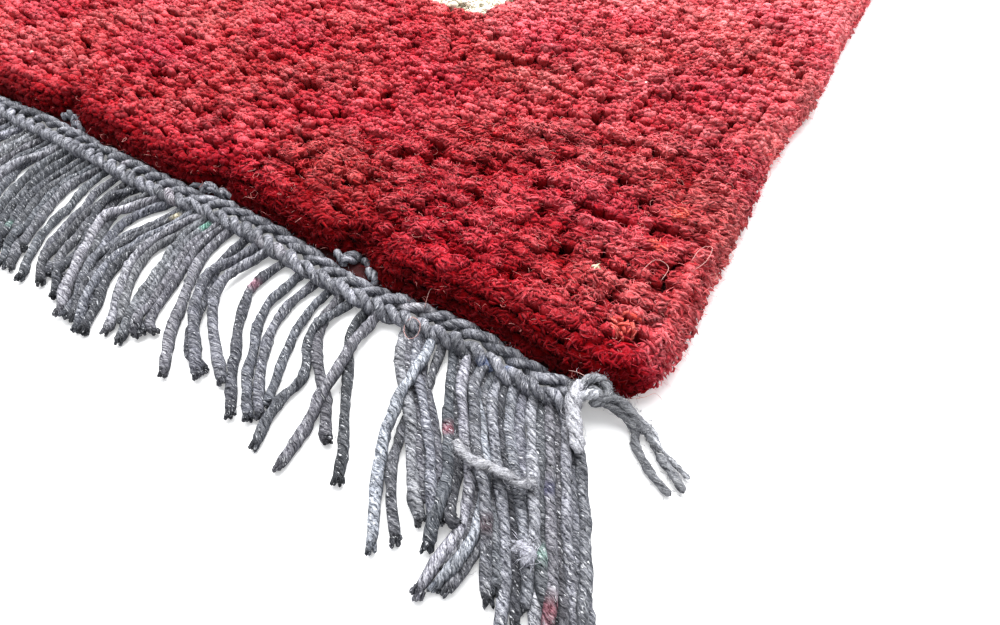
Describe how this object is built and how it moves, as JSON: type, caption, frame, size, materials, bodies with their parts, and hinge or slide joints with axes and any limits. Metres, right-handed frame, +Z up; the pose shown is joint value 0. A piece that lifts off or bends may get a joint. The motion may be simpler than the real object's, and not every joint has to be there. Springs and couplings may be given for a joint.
{
  "type": "nepalese wool rug",
  "caption": "Small hand-knotted wool rug, a thick red cut pile on a woven ground, with a twined grey edge and a long grey fringe at each end.",
  "frame": {"origin": "centre of the underside, on the surface that the rug lies on", "axes": "+Y runs along the rug from the near fringe to the far one, +Z is up through the pile, +X is across the rug"},
  "size_m": [0.6404, 1.0192, 0.0149],
  "materials": {
    "red_wool": "matte knotted wool pile",
    "grey_wool": "matte twisted wool, heathered grey",
    "tie_yarn": "matte loosely twisted wool, light grey"
  },
  "bodies": {
    "root": {"knotted_field": "red_wool", "fringe_near": "grey_wool", "fringe_far": "grey_wool", "corner_tie_near": "tie_yarn", "corner_tie_far": "tie_yarn"}
  },
  "joints": []
}
